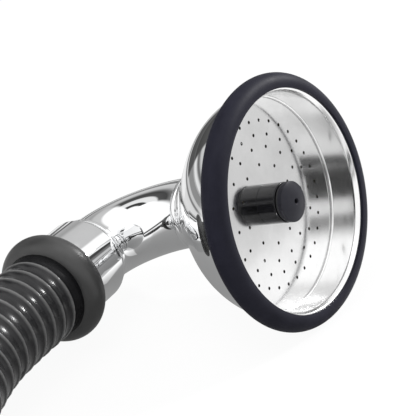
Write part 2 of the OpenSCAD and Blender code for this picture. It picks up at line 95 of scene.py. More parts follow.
@dataclass
class Outline:
    """A closed outline of radius and height, drawn corner by corner."""

    points: list[np.ndarray] = field(default_factory=list)
    fillets: list[float] = field(default_factory=list)

    def corners(self, *rows: tuple[float, ...]) -> Outline:
        """Adds corners.

        Args:
            rows: Radius and height of each corner, and the fillet that rounds it off, if any.

        Returns:
            The outline itself, so that calls can follow each other.
        """
        for radius, height, *fillet in rows:
            self.points.append(np.array([radius, height]))
            self.fillets.append(fillet[0] if fillet else 0.0)
        return self

    def arc(self, radius: float, height: float, bend: float, start: float, end: float,
            steps: int) -> Outline:
        """Adds points of a circle, from one angle to another, measured from the radius axis.

        Args:
            radius: Radius of the circle's middle.
            height: Height of the circle's middle.
            bend: The circle's own radius.
            start: First angle, in degrees.
            end: Last angle, in degrees.
            steps: How many chords.

        Returns:
            The outline itself.
        """
        angle = np.radians(np.linspace(start, end, steps + 1))
        return self.corners(*zip(radius + bend * np.cos(angle), height + bend * np.sin(angle)))

    def loop(self, steps: int = 5) -> np.ndarray:
        """Rounds the corners: P + t((1-u)^2 a + u^2 b), with a and b towards the neighbours.

        Args:
            steps: Chords to a rounded corner.

        Returns:
            The outline's points in order, one a row.
        """
        middle = np.array(self.points)
        before, after = np.roll(middle, 1, axis=0) - middle, np.roll(middle, -1, axis=0) - middle
        back, ahead = np.linalg.norm(before, axis=1), np.linalg.norm(after, axis=1)
        u = np.linspace(0.0, 1.0, steps + 1)[:, None]
        found = []
        for i, fillet in enumerate(self.fillets):
            if fillet <= 0.0:
                found.append(middle[i][None])
                continue
            a, b = before[i] / back[i], after[i] / ahead[i]
            reach = min(fillet, FILLET_SHARE * back[i], FILLET_SHARE * ahead[i])
            found.append(middle[i] + FLAT_HOLD * reach * a[None])
            found.append(middle[i] + reach * ((1 - u) ** 2 * a + u ** 2 * b))
            found.append(middle[i] + FLAT_HOLD * reach * b[None])
        return np.concatenate(found)


@dataclass(frozen=True)
class Skin:
    """A closed grid of points, row after row, joined into quads both ways round."""

    grid: np.ndarray

    def faces(self) -> np.ndarray:
        """Returns the quads, turned so that they face outwards."""
        rows, columns = self.grid.shape[:2]
        index = np.arange(rows * columns).reshape(rows, columns)
        quads = np.stack([index, np.roll(index, -1, 0), np.roll(np.roll(index, -1, 0), -1, 1),
                          np.roll(index, -1, 1)], axis=-1).reshape(-1, 4)
        flat = self.grid.reshape(-1, 3)
        corner = flat[quads] - flat.mean(axis=0)
        volume = sum(
            np.einsum("ij,ij->i", corner[:, 0], np.cross(corner[:, i], corner[:, i + 1])).sum()
            for i in (1, 2))
        return quads if volume > 0 else quads[:, ::-1]

    def piece(self, name: str, sharp: float = 40.0) -> bpy.types.Object:
        """Makes the grid a smooth mesh object, in metres.

        Args:
            name: Name of the piece.
            sharp: Angle in degrees past which an edge stays sharp.

        Returns:
            The new object, at the origin.
        """
        mesh = bpy.data.meshes.new(name)
        mesh.from_pydata((self.grid.reshape(-1, 3) * MM).tolist(), [], self.faces().tolist())
        mesh.shade_smooth()
        mesh.set_sharp_from_angle(angle=math.radians(sharp))
        mesh.update()
        made = bpy.data.objects.new(name, mesh)
        bpy.context.scene.collection.objects.link(made)
        return made

    def mark(self, made: bpy.types.Object, name: str, values: np.ndarray) -> None:
        """Stores one number for each row of the grid as a point attribute.

        Args:
            made: The object made from this grid.
            name: The attribute's name.
            values: One number a row.
        """
        spread = np.repeat(values.astype(np.float32), self.grid.shape[1])
        made.data.attributes.new(name, "FLOAT", "POINT").data.foreach_set("value", spread)


def revolved(outline: np.ndarray, axis: Axis, steps: int = 144) -> Skin:
    """Turns an outline round an axis: point (r, z) goes to (r cos t, r sin t, z).

    Args:
        outline: Closed outline, radius and height a row, in millimetres.
        axis: The axis to turn it round.
        steps: How many places round the axis.

    Returns:
        The skin.
    """
    turn = np.linspace(0.0, 2.0 * math.pi, steps, endpoint=False)
    radius, height = outline[:, 0][:, None], outline[:, 1][:, None]
    local = np.stack([radius * np.cos(turn), radius * np.sin(turn),
                      height + 0.0 * turn], axis=-1)
    return Skin(axis.point(local))


def swept(centres: np.ndarray, ahead: np.ndarray, up: np.ndarray, radii: np.ndarray,
          steps: int) -> Skin:
    """Carries a circle along a path: C + r(cos t S + sin t N), with S and N across the path.

    Args:
        centres: The path's points, in millimetres.
        ahead: Unit direction of the path at each point.
        up: A direction that is never along the path, or one for each point.
        radii: The circle's radius at each point.
        steps: How many places round the circle.

    Returns:
        The skin.
    """
    side = np.cross(ahead, up)
    side /= np.linalg.norm(side, axis=1)[:, None]
    normal = np.cross(side, ahead)
    turn = np.linspace(0.0, 2.0 * math.pi, steps, endpoint=False)[None, :, None]
    ring = np.cos(turn) * side[:, None, :] + np.sin(turn) * normal[:, None, :]
    return Skin(centres[:, None, :] + radii[:, None, None] * ring)


# ---------------- finishes


def grey(level: float) -> tuple[float, float, float, float]:
    """Returns an opaque grey."""
    return (level, level, level, 1.0)


@dataclass
class Tree:
    """Adds and joins nodes in one node tree."""

    tree: bpy.types.NodeTree

    def add(self, kind: str, values: dict | None = None, **settings: object) -> bpy.types.Node:
        """Adds a node.

        Args:
            kind: The node's type.
            values: Input values by socket name or number; a socket value is joined.
            settings: The node's own properties.

        Returns:
            The node.
        """
        node = self.tree.nodes.new(kind)
        for name, value in settings.items():
            setattr(node, name, value)
        for name, value in (values or {}).items():
            if isinstance(value, Socket):
                self.tree.links.new(value, node.inputs[name])
            else:
                node.inputs[name].default_value = value
        return node

    def ramp(self, value: Socket, stops: Ramp) -> Socket:
        """Adds a grey ramp.

        Args:
            value: What the ramp reads.
            stops: Place and grey level of each stop.

        Returns:
            The ramp's colour.
        """
        node = self.add("ShaderNodeValToRGB", {"Fac": value})
        elements = node.color_ramp.elements
        while len(elements) < len(stops):
            elements.new(0.5)  # each gets its own place below
        for element, (place, level) in zip(elements, stops):
            element.position = place
            element.color = grey(level)
        return node.outputs["Color"]

    def mix(self, share: Socket, first: object, second: object) -> Socket:
        """Mixes two colours.

        Args:
            share: How much of the second shows.
            first: A colour, or the socket that gives it.
            second: The other colour, or its socket.

        Returns:
            The mixed colour.
        """
        # Inputs 6 and 7 and output 2 are the node's colours.
        node = self.add("ShaderNodeMix", {0: share, 6: first, 7: second}, data_type="RGBA")
        return node.outputs[2]

    def blend(self, share: Socket, first: bpy.types.Node, second: bpy.types.Node,
              ) -> bpy.types.Node:
        """Mixes two shaders.

        Args:
            share: How much of the second shows.
            first: The node of one shader.
            second: The node of the other.

        Returns:
            The mixing node.
        """
        return self.add("ShaderNodeMixShader", {0: share, 1: first.outputs[0],
                                                2: second.outputs[0]})


def noise_group(name: str, output: str, kind: str, detail: float, roughness: float,
                inputs: dict[str, float | None]) -> tuple[Tree, dict[str, Socket], Socket]:
    """Starts a shader node group that works from a noise texture.

    Args:
        name: The group's name.
        output: Name of its output.
        kind: Socket type of its output.
        detail: The noise's detail.
        roughness: The noise's roughness.
        inputs: Start value of each input beside the vector, or None for a colour.

    Returns:
        The group's tree helper, its inputs by name, and the noise's value.
    """
    group = bpy.data.node_groups.new(name, "ShaderNodeTree")
    group.interface.new_socket("Vector", in_out="INPUT", socket_type="NodeSocketVector")
    for label, value in inputs.items():
        plain = "NodeSocketColor" if value is None else "NodeSocketFloat"
        socket = group.interface.new_socket(label, in_out="INPUT", socket_type=plain)
        if value is not None:
            socket.default_value = value
    group.interface.new_socket(output, in_out="OUTPUT", socket_type=kind)
    tree = Tree(group)
    given = dict(tree.add("NodeGroupInput").outputs.items())
    noise = tree.add("ShaderNodeTexNoise", {"Vector": given["Vector"], "Scale": given["Scale"],
                                            "Detail": detail, "Roughness": roughness})
    return tree, given, noise.outputs["Fac"]


class Effects:
    """The shader groups that several finishes share, each built once."""

    def __init__(self) -> None:
        """Builds the groups."""
        self.film = self.build_film()
        self.waves = self.build_waves()
        self.tone = self.build_tone()

    def build_film(self) -> bpy.types.NodeTree:
        """Returns the group that varies roughness softly, as a thin film of handling does."""
        tree, given, noise = noise_group(
            "handling_film", "Roughness", "NodeSocketFloat", 5.0, 0.6,
            {"Scale": 60.0, "Low": 0.05, "High": 0.1})
        spread = tree.add("ShaderNodeMapRange", {
            "Value": noise, **NOISE_SPAN, "To Min": given["Low"], "To Max": given["High"]})
        tree.add("NodeGroupOutput", {"Roughness": spread.outputs["Result"]})
        return tree.tree

    def build_waves(self) -> bpy.types.NodeTree:
        """Returns the group that ripples a surface, from slow casting waves to fine grain."""
        tree, given, noise = noise_group(
            "surface_waves", "Normal", "NodeSocketVector", 2.0, 0.5,
            {"Scale": 100.0, "Height": 0.1, "Distance": 0.0001})
        bump = tree.add("ShaderNodeBump", {"Strength": given["Height"],
                                           "Distance": given["Distance"], "Height": noise})
        tree.add("NodeGroupOutput", {"Normal": bump.outputs["Normal"]})
        return tree.tree

    def build_tone(self) -> bpy.types.NodeTree:
        """Returns the group that mottles a colour between two tones."""
        tree, given, noise = noise_group(
            "mottled_tone", "Color", "NodeSocketColor", 6.0, 0.65,
            {"Scale": 80.0, "Dark": None, "Light": None})
        spread = tree.add("ShaderNodeMapRange", {"Value": noise, **NOISE_SPAN})
        colour = tree.mix(spread.outputs["Result"], given["Dark"], given["Light"])
        tree.add("NodeGroupOutput", {"Color": colour})
        return tree.tree


@dataclass(frozen=True)
class Finish:
    """A surface finish: two tones, roughness and ripples, a coat, and a painted sheen colour for
    rib crests.
    """

    slot: str
    dark: Vector3
    light: Vector3
    low_roughness: float
    high_roughness: float
    metallic: float = 0.0
    wave_scale: float = 100.0
    wave_height: float = 0.1
    wave_distance: float = 0.0001
    coat: float = 0.0
    coat_roughness: float = 0.1
    specular: float = 0.5
    # Lighter grey painted on the hose's rib crests as sheen, in place of their highlights.
    ridge_sheen: Vector3 | None = None

    def material(self, effects: Effects) -> bpy.types.Material:
        """Makes the material.

        Args:
            effects: The shared groups.

        Returns:
            The material.
        """
        made = bpy.data.materials.new(self.slot + "_finish")
        made.use_nodes = True
        made.node_tree.nodes.clear()
        tree = Tree(made.node_tree)
        vector = tree.add("ShaderNodeTexCoord").outputs["Object"]
        tone, film, waves = (
            tree.add("ShaderNodeGroup", {"Vector": vector, **values}, node_tree=group)
            for group, values in (
                (effects.tone, {"Dark": (*self.dark, 1.0), "Light": (*self.light, 1.0)}),
                (effects.film, {"Low": self.low_roughness, "High": self.high_roughness}),
                (effects.waves, {"Scale": self.wave_scale, "Height": self.wave_height,
                                 "Distance": self.wave_distance})))
        colour = tone.outputs["Color"]
        # Mixes in the painted sheen's lighter grey on the marked rib crests.
        if self.ridge_sheen is not None:
            mask = tree.add("ShaderNodeAttribute", attribute_name="ridge_sheen").outputs["Fac"]
            colour = tree.mix(mask, colour, (*self.ridge_sheen, 1.0))
        shader = tree.add("ShaderNodeBsdfPrincipled", {
            "Base Color": colour, "Roughness": film.outputs["Roughness"],
            "Metallic": self.metallic, "Normal": waves.outputs["Normal"],
            "Coat Weight": self.coat, "Coat Roughness": self.coat_roughness,
            "Specular IOR Level": self.specular})
        tree.add("ShaderNodeOutputMaterial", {"Surface": shader.outputs["BSDF"]})
        return made


class Surface(Enum):
    """The sprayer's finishes."""

    CHROME = Finish("chrome_plate", (0.84, 0.845, 0.85), (0.89, 0.893, 0.897), 0.02, 0.04, 1.0,
                    wave_scale=45.0, wave_height=0.12, wave_distance=0.0004)
    CUP = Finish("cup_steel", (0.78, 0.78, 0.78), (0.84, 0.84, 0.84), 0.14, 0.2, 1.0,
                 wave_scale=160.0, wave_height=0.05)
    PLATE = Finish("plate_steel", (0.69, 0.69, 0.69), (0.76, 0.76, 0.76), 0.09, 0.14, 1.0,
                   wave_scale=90.0, wave_height=0.04)
    BRASS = Finish("core_brass", (0.6, 0.46, 0.22), (0.7, 0.55, 0.28), 0.22, 0.34, 1.0)
    BUMPER = Finish("bumper_rubber", (0.009, 0.009, 0.016), (0.014, 0.014, 0.023), 0.48, 0.6,
                    wave_scale=1800.0, wave_height=0.12, specular=0.12)
    RING = Finish("ring_rubber", (0.02, 0.02, 0.02), (0.03, 0.03, 0.03), 0.34, 0.46,
                  wave_scale=1500.0, wave_height=0.12, specular=0.65)
    # The hose's lighter grey on its rib crests is a painted sheen.
    HOSE = Finish("hose_rubber", (0.008, 0.008, 0.009), (0.014, 0.014, 0.015), 0.2, 0.3,
                  wave_scale=700.0, wave_height=0.08, coat=0.1, coat_roughness=0.2,
                  specular=0.25, ridge_sheen=(0.13, 0.13, 0.13))
    SEAL = Finish("seal_rubber", (0.012, 0.012, 0.013), (0.018, 0.018, 0.019), 0.45, 0.6)
    POST = Finish("post_plastic", (0.006, 0.006, 0.008), (0.01, 0.01, 0.012), 0.12, 0.2,
                  wave_scale=300.0, wave_height=0.05, specular=0.35)
    CAP = Finish("cap_plastic", (0.016, 0.016, 0.022), (0.024, 0.024, 0.031), 0.38, 0.5,
                 wave_scale=1600.0, wave_height=0.15, specular=0.12)


@dataclass
class Workshop:
    """Hands out materials and settles each piece on its body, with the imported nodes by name."""

    nodes: dict[str, bpy.types.Object]
    effects: Effects = field(default_factory=Effects)
    made: dict[Surface, bpy.types.Material] = field(default_factory=dict)

    def material(self, surface: Surface) -> bpy.types.Material:
        """Finds a surface's material, and makes it the first time.

        Args:
            surface: The finish.

        Returns:
            The material.
        """
        if surface not in self.made:
            self.made[surface] = surface.value.material(self.effects)
        return self.made[surface]

    def settle(self, made: bpy.types.Object, surface: Surface, body: str,
               *nodes: str) -> bpy.types.Object:
        """Dresses a piece, lets it ride on a body and hides the nodes that it stands for.

        Args:
            made: The piece.
            surface: Its finish.
            body: The body that it rides on.
            nodes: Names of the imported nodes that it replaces.

        Returns:
            The piece.
        """
        made.data.materials.append(self.material(surface))
        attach(made, body)
        if nodes:
            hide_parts(*nodes)
        LOG.info("%s: %d faces, on %s, %s", made.name, len(made.data.polygons), body,
                 surface.value.slot)
        return made

    def dress(self, surface: Surface, *names: str) -> None:
        """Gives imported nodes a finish.

        Args:
            surface: The finish.
            names: Names of the nodes.
        """
        for name in names:
            for slot in self.nodes[name].material_slots:
                slot.material = self.material(surface)
            LOG.info("%s: %s", name, surface.value.slot)


# ---------------- union nut and hose


@dataclass
class UnionNut:
    """Union nut: thin lip, groove, rounded shoulder, barrel and back wall."""

    barrel: float
    height: float
    bore: float = 10.5
    neck: float = 8.55
    lip: float = 12.8
    lip_end: float = 1.6
    groove_depth: float = 2.0
    groove_end: float = 2.4
    shoulder: float = 2.2
    wall: float = 2.2

    def outline(self) -> np.ndarray:
        """Returns the outline, radius and height a row, with the mouth at height 0."""
        lip, groove = min(self.lip, self.barrel - 1.0), self.barrel - self.groove_depth
        back = self.height - self.wall
        shape = Outline().corners(
            (self.bore, 0.0, 0.3), (lip, 0.0, 0.45), (lip, self.lip_end, 0.45),
            (groove, self.lip_end + 0.1, 0.1), (groove, self.groove_end, 0.2))
        shape.arc(self.barrel - self.shoulder, self.groove_end + 0.2 + self.shoulder,
                  self.shoulder, -90.0, 0.0, 12)
        return shape.corners((self.barrel, self.height, 0.6), (self.neck, self.height, 0.3),
                             (self.neck, back, 0.2), (self.bore, back, 0.2)).loop()


@dataclass
class SupplyHose:
    """The ribbed hose, its coil and its far connector."""

    start: Vector3 = (-48.5061, 25.3776, 18.0)
    straight: float = 28.0
    run: tuple[Vector3, ...] = (
        (-83.6, 19.9, 3.7), (-90.8, 18.1, 2.8), (-97.9, 15.8, 1.8), (-104.9, 13.1, 0.8),
        (-111.8, 10.3, 0.1), (-118.7, 7.4, 0), (-125.6, 4.6, 0), (-132.6, 1.8, 0),
        (-139.5, -1.1, 0), (-146.5, -3.7, 0), (-153.6, -6, 0), (-160.8, -7.8, 0),
        (-168.2, -9.3, 0), (-175.6, -10.3, 0), (-183, -10.9, 0), (-190.5, -11.1, 0),
        (-198, -11.3, 0), (-205.4, -11.5, 0), (-212.9, -11.7, 0), (-220.4, -11.9, 0),
        (-227.9, -12.1, 0))
    radius: float = 14.0
    bore: float = 9.0
    rib_pitch: float = 5.6
    rib_depth: float = 0.55
    rib_shape: Ramp = ((0.33, 0.0), (0.36, 0.2), (0.42, 0.75), (0.5, 1.0), (0.58, 0.75),
                       (0.64, 0.2), (0.67, 0.0))
    plain_end: float = 0.6
    bore_rings: int = 240
    spacing: float = 0.5
    samples_a_mm: int = 4
    coil_centre: tuple[float, float] = (-256.0, -182.9)
    coil_radius: float = 170.0
    coil_pitch: float = 29.6
    coil_draw_in: float = 260.0
    coil_points: int = 33
    coil_points_a_turn: float = 24.0
    coil_lead: float = 28.0
    sides: int = 36
    sleeve_radius: float = 13.6
    sleeve_length: float = 12.0
    nut_radius: float = 13.8
    nut_length: float = 15.0
    nut_back: float = 12.75

    def coil(self, turns: np.ndarray) -> np.ndarray:
        """The coil: a spiral whose radius is R - p t - d max(0, t - 1)^2 after t turns.

        Args:
            turns: How far round, in turns.

        Returns:
            Points on the ground, one a row.
        """
        radius = (self.coil_radius - self.coil_pitch * turns
                  - self.coil_draw_in * np.maximum(0.0, turns - 1.0) ** 2)
        angle = math.pi / 2 + 2 * math.pi * turns
        return np.stack([self.coil_centre[0] + radius * np.cos(angle),
                         self.coil_centre[1] + radius * np.sin(angle),
                         np.full_like(turns, self.radius)], axis=1)

    def route(self) -> np.ndarray:
        """Returns the route's own points, from the cuff to the coil's end."""
        run = np.array(self.run, float) + [0.0, 0.0, self.radius]
        turns = np.arange(self.coil_points) / self.coil_points_a_turn
        step = 1.0 / 360.0  # a degree, in turns
        chord = self.coil(turns[-1:] + step) - self.coil(turns[-1:] - step)
        tail = self.coil(turns[-1:]) + self.coil_lead * chord / np.linalg.norm(chord)
        start = np.array([self.start])
        held = start + self.straight * np.array([HOSE_AXIS.along])
        return np.concatenate([start, held, run, self.coil(turns), tail])

    def centreline(self) -> tuple[np.ndarray, np.ndarray]:
        """Draws one smooth curve through the route: cubic pieces with shared slopes.

        Returns:
            Points and unit directions, evenly spaced.
        """
        knots = self.route()
        step = np.linalg.norm(np.diff(knots, axis=0), axis=1)
        mark = np.concatenate([[0.0], np.cumsum(step)])
        slope = np.gradient(knots, mark, axis=0)
        fine = np.linspace(0.0, mark[-1], int(mark[-1] * self.samples_a_mm))
        piece = np.clip(np.searchsorted(mark, fine, side="right") - 1, 0, len(step) - 1)
        width = step[piece][:, None]
        u = (fine[:, None] - mark[piece][:, None]) / width
        curve = ((2 * u ** 3 - 3 * u ** 2 + 1) * knots[piece]
                 + (u ** 3 - 2 * u ** 2 + u) * width * slope[piece]
                 + (3 * u ** 2 - 2 * u ** 3) * knots[piece + 1]
                 + (u ** 3 - u ** 2) * width * slope[piece + 1])
        run = np.concatenate([[0.0], np.cumsum(np.linalg.norm(np.diff(curve, axis=0), axis=1))])
        even = np.linspace(0.0, run[-1], int(run[-1] / self.spacing) + 1)
        points = np.stack([np.interp(even, run, curve[:, k]) for k in range(3)], axis=1)
        ahead = np.gradient(points, axis=0)
        return points, ahead / np.linalg.norm(ahead, axis=1)[:, None]

    def ribbed(self) -> tuple[bpy.types.Object, np.ndarray]:
        """Makes the hose: flat bands with a narrow round rib between them, and a bore, and marks
        the rib crests for the painted sheen.

        Returns:
            The hose, and the points of its middle line in millimetres.
        """
        points, ahead = self.centreline()
        length = self.spacing * (len(points) - 1)
        marks = np.linspace(0.0, length, len(points))
        count = int(length / self.rib_pitch)
        first = (length - count * self.rib_pitch) / 2
        shape = np.array(self.rib_shape)
        place = (first + self.rib_pitch * (np.arange(count)[:, None] + shape[:, 0])).ravel()
        lift = np.tile(shape[:, 1], count)
        place = np.concatenate([[0.0, self.plain_end], place, [length - self.plain_end, length]])
        lift = np.concatenate([[0.0, 0.0], lift, [0.0, 0.0]])
        outside = self.radius - self.rib_depth * (1.0 - lift)
        inside = np.linspace(length, 0.0, self.bore_rings)
        station = np.concatenate([place, inside])
        radii = np.concatenate([outside, np.full(len(inside), self.bore)])
        line = np.stack([np.interp(station, marks, points[:, k]) for k in range(3)], axis=1)
        way = np.stack([np.interp(station, marks, ahead[:, k]) for k in range(3)], axis=1)
        way /= np.linalg.norm(way, axis=1)[:, None]
        skin = swept(line, way, np.array([[0.0, 0.0, 1.0]]), radii, self.sides)
        made = skin.piece("ribbed_hose")
        # Marks the rib crests, where a painted sheen lightens the hose's colour.
        skin.mark(made, "ridge_sheen", np.concatenate([lift, np.zeros(len(inside))]) ** 2)
        return made, points

    def build(self, shop: Workshop) -> None:
        """Args:
            shop: Where materials come from.
        """
        hose, line = self.ribbed()
        shop.settle(hose, Surface.HOSE, "hose", "hose_run", "hose_coil")
        outside, end = self.sleeve_radius, self.sleeve_length
        sleeve = revolved(Outline().corners(
            (outside, 0.0, 0.5), (outside, end, 0.8), (self.bore, end, 0.2),
            (self.bore, 0.0, 0.2)).loop(), SUPPLY_AXIS)
        crimped = shop.settle(sleeve.piece("crimped_sleeve"), Surface.CHROME, "hose",
                              "supply_sleeve")
        loop = UnionNut(self.nut_radius, self.nut_length).outline()
        far = self.nut_back + self.nut_length
        nut = revolved(np.stack([loop[:, 0], far - loop[:, 1]], axis=1), SUPPLY_AXIS)
        mouth = shop.settle(nut.piece("supply_union_nut"), Surface.CHROME, "supply_nut",
                            "supply_nut")
        shop.dress(Surface.BRASS, "supply_tail")
        shop.dress(Surface.SEAL, "supply_washer")


# ---------------- coupling and bent tube


@dataclass
class Coupling:
    """Union nut, hose tail, cuff and the thick rubber ring."""

    nut_radius: float = 14.2
    nut_length: float = 19.4
    nut_start: float = 1.5
    ring_middle: float = 26.1568
    ring_mid_radius: float = 12.9
    ring_section: float = 5.1
    ring_bore: float = 14.1
    cuff_radius: float = 14.0
    cuff_bore: float = 9.0
    cuff_start: float = 21.2
    cuff_end: float = 31.11

    def nut(self) -> np.ndarray:
        """Returns the nut's outline, its mouth open for the tube."""
        return UnionNut(self.nut_radius, self.nut_length).outline() + [0.0, self.nut_start]

    def ring(self) -> np.ndarray:
        """Returns the ring's outline: a circle cut off at its bore."""
        edge = math.degrees(math.acos((self.ring_bore - self.ring_mid_radius) / self.ring_section))
        return Outline().arc(self.ring_mid_radius, self.ring_middle, self.ring_section,
                             -edge, edge, 40).loop()

    def cuff(self) -> np.ndarray:
        """Returns the cuff's outline."""
        return Outline().corners(
            (self.cuff_radius, self.cuff_start, 0.3), (self.cuff_radius, self.cuff_end),
            (self.cuff_bore, self.cuff_end), (self.cuff_bore, self.cuff_start)).loop()

    def build(self, shop: Workshop) -> None:
        """Makes and dresses the coupling's pieces.

        Args:
            shop: Where materials come from.
        """
        shop.settle(revolved(self.nut(), HOSE_AXIS, 160).piece("coupling_union_nut"),
                    Surface.CHROME, "elbow", "coupling_nut")
        shop.settle(revolved(self.ring(), HOSE_AXIS, 160).piece("thick_hose_ring"),
                    Surface.RING, "hose", "hose_ring")
        shop.settle(revolved(self.cuff(), HOSE_AXIS).piece("moulded_cuff"),
                    Surface.HOSE, "hose", "hose_cuff")
        shop.dress(Surface.BRASS, "hose_tail")
        shop.dress(Surface.SEAL, "coupling_washer")


@dataclass
class BentTube:
    """Chromed tube with its spigot, bend and thread, and the collar on it."""

    radius: float = 11.6
    end_radius: float = 11.5
    bore: float = 8.8
    thread: float = 10.4
    bend_radius: float = 24.0
    bend_angle: float = 98.0
    bend_start: float = -37.805
    spigot_top: float = -22.555
    thread_start: float = 3.0
    thread_end: float = 11.5
    end_edge: float = 0.4
    shoulder_edge: float = 0.3
    spigot_end: float = -0.6
    tube_start: float = -0.4
    bend_rings: int = 97
    bore_rings: int = 49
    sides: int = 128
    collar_bore: float = 11.65
    collar_flank: float = 12.0
    collar_middle: float = 11.35
    collar_bend: float = 1.25

    def path(self, along: np.ndarray) -> tuple[np.ndarray, np.ndarray]:
        """The tube's middle line: straight on the head's axis, an arc, straight on the hose's.

        Args:
            along: Distances, zero at the bend's start.

        Returns:
            Points and unit directions.
        """
        across, _, axis = HEAD_AXIS.basis()
        start = np.array(HEAD_AXIS.origin) + self.bend_start * axis
        arc = self.bend_radius * math.radians(self.bend_angle)
        angle = np.clip(along, 0.0, arc)[:, None] / self.bend_radius
        ahead = across * np.sin(angle) - axis * np.cos(angle)
        points = (start + self.bend_radius * (across * (1 - np.cos(angle)) - axis * np.sin(angle))
                  + np.minimum(along, 0.0)[:, None] * -axis
                  + np.maximum(along - arc, 0.0)[:, None] * ahead)
        return points, ahead

    def tube(self) -> Skin:
        """Returns the tube's skin, outside and bore."""
        arc = self.bend_radius * math.radians(self.bend_angle)
        top = self.bend_start - self.spigot_top
        first, last = arc + self.thread_start, arc + self.thread_end
        outside = [(top, self.end_radius - self.end_edge), (top + self.end_edge, self.end_radius),
                   (self.spigot_end, self.end_radius), (self.tube_start, self.radius)]
        bend = [(float(v), self.radius) for v in np.linspace(0.0, arc, self.bend_rings)]
        ends = [(first - self.shoulder_edge, self.radius),
                (first, self.radius - self.shoulder_edge), (first, self.thread),
                (last - self.end_edge, self.thread), (last, self.thread - self.end_edge),
                (last, self.bore)]
        inside = [(float(v), self.bore) for v in np.linspace(arc, 0.0, self.bore_rings)]
        station = np.array(outside + bend + ends + inside + [(top, self.bore)])
        points, ahead = self.path(station[:, 0])
        normal = np.cross(HEAD_AXIS.basis()[0], HEAD_AXIS.basis()[2])[None]
        return swept(points, ahead, normal, station[:, 1], self.sides)

    def collar(self) -> np.ndarray:
        """Returns the collar's outline, with a rounded back."""
        low, high = self.bend_start - self.collar_bend, self.bend_start + self.collar_bend
        shape = Outline().corners((self.collar_bore, low, 0.2), (self.collar_flank, low, 0.2))
        shape.arc(self.collar_middle, self.bend_start, self.collar_bend, -75.0, 75.0, 20)
        return shape.corners((self.collar_flank, high, 0.2), (self.collar_bore, high, 0.2)).loop()

    def build(self, shop: Workshop) -> None:
        """Makes and dresses the tube and its collar.

        Args:
            shop: Where materials come from.
        """
        shop.settle(self.tube().piece("bent_tube"), Surface.CHROME, "elbow", "elbow_tube")
        shop.settle(revolved(self.collar(), HEAD_AXIS, 160).piece("rounded_collar"),
                    Surface.CHROME, "elbow", "neck_collar")
        shop.dress(Surface.SEAL, "neck_seals")
        shop.dress(Surface.CUP, "neck_clip")


# ---------------- spray head


@dataclass
class SprayHead:
    """Bell, bumper, cup and perforated plate."""

    shell: float = 37.4
    wall: float = 1.4
    bell: float = 28.0
    bell_angle: float = 46.0
    neck: float = 13.2
    neck_end: float = -36.255
    bumper_mid: float = 36.8
    bumper_section: float = 4.2
    hook: float = 1.7
    flange: float = 3.1
    seat: float = -8.8
    plate: float = -7.8
    bead: float = 0.4
    front: float = 2.0
    front_bore: float = 36.0
    step: float = 35.1
    step_top: float = 1.1
    socket: float = 11.55
    clip_room: float = 14.35
    clip_start: float = -25.255
    clip_end: float = -32.198
    cup: float = 35.0
    cup_bore: float = 34.5
    ledge: float = 31.5
    ledge_top: float = -8.3
    flange_radius: float = 37.3
    flange_back: float = 2.6
    flare: tuple[float, float] = (35.45, 1.45)
    lip: tuple[float, float] = (35.4, 1.7)

    def bumper_outline(self) -> np.ndarray:
        """Returns the bumper's outline: a circle cut away over the shell and the flange."""
        low = -math.degrees(math.acos((self.shell - self.bumper_mid) / self.bumper_section))
        inner = self.shell - self.hook
        high = math.degrees(math.acos((inner - self.bumper_mid) / self.bumper_section))
        shape = Outline().arc(self.bumper_mid, 0.0, self.bumper_section, low, high, 56)
        return shape.corners((inner, self.flange), (self.shell, self.flange)).loop()

    def bell_outline(self) -> np.ndarray:
        """Returns the bell's outline: front band, arc, cone and neck, and back inside."""
        middle = self.shell - self.bell
        shape = Outline().corners((self.front_bore, self.front), (self.shell, self.front, 0.1))
        shape.arc(middle, 0.0, self.bell, 0.0, -self.bell_angle, 64)
        slope = math.tan(math.radians(self.bell_angle))
        top = self.shell - self.bell * (1 - math.cos(math.radians(self.bell_angle)))
        height = -self.bell * math.sin(math.radians(self.bell_angle))
        neck = height - (top - self.neck) / slope
        shape.corners((self.neck, neck, 1.6), (self.neck, self.neck_end, 0.35),
                      (self.socket, self.neck_end, 0.2), (self.socket, self.clip_start),
                      (self.clip_room, self.clip_start), (self.clip_room, self.clip_end))
        inside = self.bell - self.wall
        seat = math.degrees(math.asin(-self.seat / inside))
        shape.arc(middle, 0.0, inside, -self.bell_angle, -seat, 48)
        return shape.corners((self.step, self.seat), (self.step, self.step_top)).loop()

    def cup_outline(self) -> np.ndarray:
        """Returns the cup ring's outline: ledge, wall, flared lip and flange, bead."""
        shape = Outline().corners(
            (self.ledge, self.seat, 0.1), (self.cup, self.seat, 0.2),
            (self.cup, self.flare[1], 0.2), (self.flare[0], self.flange_back, 0.2),
            (self.flange_radius, self.flange_back), (self.flange_radius, self.flange),
            (self.lip[0], self.flange, 0.45), (self.cup_bore, self.lip[1], 0.5))
        shape.arc(self.cup_bore, self.plate + self.bead, self.bead, 90.0, 270.0, 16)
        return shape.corners((self.cup_bore, self.ledge_top), (self.ledge, self.ledge_top)).loop()

    def build(self, shop: Workshop) -> None:
        """Makes and dresses the head's pieces.

        Args:
            shop: Where materials come from.
        """
        shop.settle(revolved(self.bumper_outline(), HEAD_AXIS, 192).piece("moulded_bumper"),
                    Surface.BUMPER, "head", "rim_bumper")
        shop.settle(revolved(self.bell_outline(), HEAD_AXIS, 192).piece("bell_shell"),
                    Surface.CHROME, "head", "head_shell")
        shop.settle(revolved(self.cup_outline(), HEAD_AXIS, 192).piece("drawn_cup"),
                    Surface.CUP, "head", "cup_ring")
        shop.dress(Surface.PLATE, "spray_plate")
        shop.dress(Surface.SEAL, "cup_gasket")
        shop.dress(Surface.BRASS, "jet_core")


